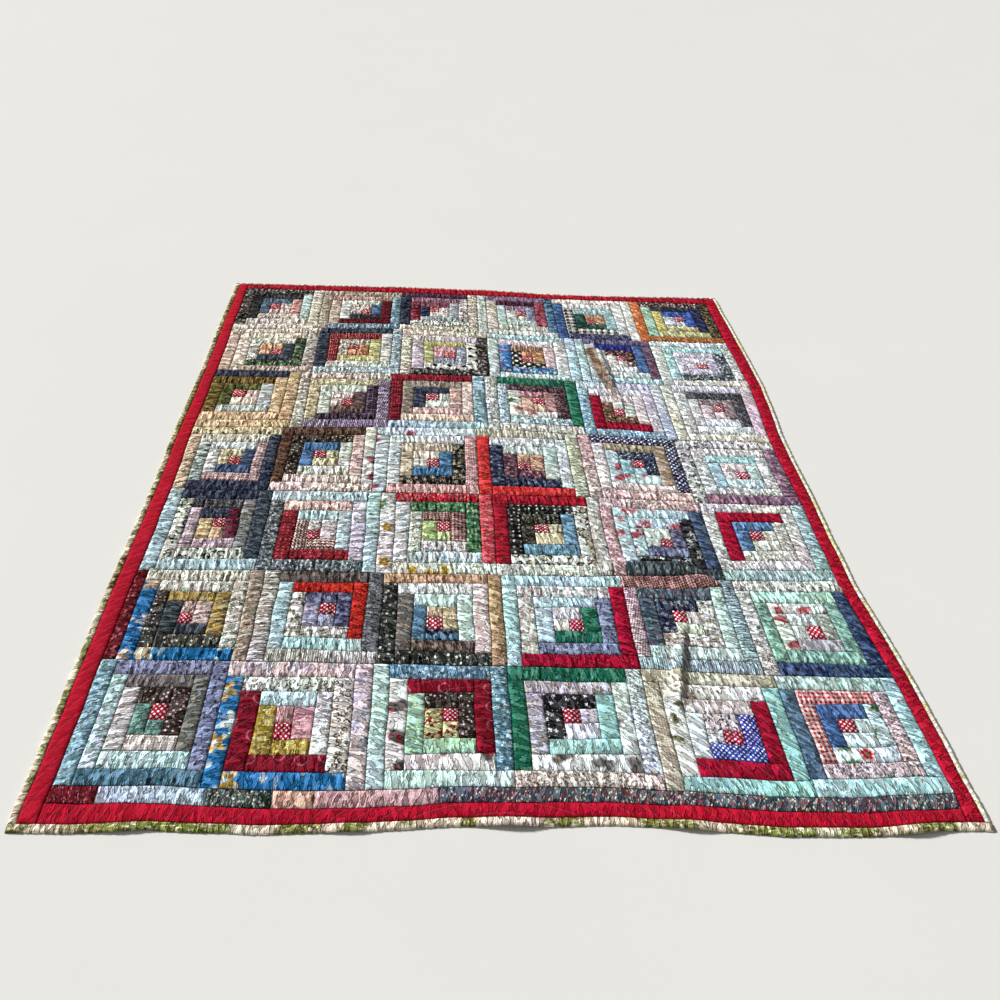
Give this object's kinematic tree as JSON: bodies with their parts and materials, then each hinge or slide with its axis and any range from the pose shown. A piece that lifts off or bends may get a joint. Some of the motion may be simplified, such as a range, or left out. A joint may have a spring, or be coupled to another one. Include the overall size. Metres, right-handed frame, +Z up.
{
  "type": "patchwork quilt",
  "caption": "Quilt of log cabin blocks in scrap prints, with a red border and a leafy print binding, lying flat on the floor with a few rumples.",
  "frame": {"origin": "on the floor, under the middle of the quilt's bounding box", "axes": "+X across the width to the right, +Y along the length from the foot to the far edge, +Z up"},
  "size_m": [1.9156, 2.254, 0.0316],
  "materials": {
    "aqua_patchwork": "scrap cotton prints of this family round a red dotted centre, washed and quilted",
    "blue_patchwork": "scrap cotton prints of this family round a red dotted centre, washed and quilted",
    "green_patchwork": "scrap cotton prints of this family round a red dotted centre, washed and quilted",
    "black_patchwork": "scrap cotton prints of this family round a red dotted centre, washed and quilted",
    "brown_patchwork": "scrap cotton prints of this family round a red dotted centre, washed and quilted",
    "plum_patchwork": "scrap cotton prints of this family round a red dotted centre, washed and quilted",
    "red_patchwork": "scrap cotton prints of this family round a red dotted centre, washed and quilted",
    "white_patchwork": "scrap cotton prints of this family round a red dotted centre, washed and quilted",
    "dark_red_print": "dark red cotton with small flowers",
    "foot_dark_red_cloth": "dark red cotton with small flowers",
    "foot_pale_blue_cloth": "pale blue and white cotton with fine flowers",
    "foot_green_cloth": "dark green cotton with white buds",
    "foot_peach_cloth": "peach and tan flowered cotton",
    "foot_lavender_cloth": "lavender and tan flowered cotton",
    "foot_dark_floral_cloth": "dark teal and red small flowered cotton",
    "red_border_cloth": "plain red cotton, washed",
    "leaf_print_binding": "cream cotton with green leaves"
  },
  "bodies": {
    "root": {"block_r1_c1": "black_patchwork", "block_r1_c2": "blue_patchwork", "block_r1_c3": "blue_patchwork", "block_r1_c4": "blue_patchwork", "block_r1_c5": "blue_patchwork", "block_r1_c6": "brown_patchwork", "block_r2_c1": "brown_patchwork", "block_r2_c2": "blue_patchwork", "block_r2_c3": "black_patchwork", "block_r2_c4": "aqua_patchwork", "block_r2_c5": "plum_patchwork", "block_r2_c6": "white_patchwork", "block_r3_c1": "blue_patchwork", "block_r3_c2": "plum_patchwork", "block_r3_c3": "red_patchwork", "block_r3_c4": "green_patchwork", "block_r3_c5": "blue_patchwork", "block_r3_c6": "plum_patchwork", "block_r4_c1": "blue_patchwork", "block_r4_c2": "brown_patchwork", "block_r4_c3": "red_patchwork", "block_r4_c4": "red_patchwork", "block_r4_c5": "blue_patchwork", "block_r4_c6": "plum_patchwork", "block_r5_c1": "blue_patchwork", "block_r5_c2": "blue_patchwork", "block_r5_c3": "red_patchwork", "block_r5_c4": "red_patchwork", "block_r5_c5": "blue_patchwork", "block_r5_c6": "white_patchwork", "block_r6_c1": "blue_patchwork", "block_r6_c2": "black_patchwork", "block_r6_c3": "brown_patchwork", "block_r6_c4": "red_patchwork", "block_r6_c5": "brown_patchwork", "block_r6_c6": "blue_patchwork", "block_r7_c1": "plum_patchwork", "block_r7_c2": "blue_patchwork", "block_r7_c3": "blue_patchwork", "block_r7_c4": "green_patchwork", "block_r7_c5": "aqua_patchwork", "block_r7_c6": "aqua_patchwork", "filler_strip": "dark_red_print", "foot_dark_red": "foot_dark_red_cloth", "foot_pale_blue": "foot_pale_blue_cloth", "foot_green": "foot_green_cloth", "foot_peach": "foot_peach_cloth", "foot_lavender": "foot_lavender_cloth", "foot_dark_floral": "foot_dark_floral_cloth", "border_left": "red_border_cloth", "border_right": "red_border_cloth", "border_near": "red_border_cloth", "border_far": "dark_red_print", "binding_left": "leaf_print_binding", "binding_right": "leaf_print_binding", "binding_near": "leaf_print_binding", "binding_far": "leaf_print_binding"}
  },
  "joints": []
}
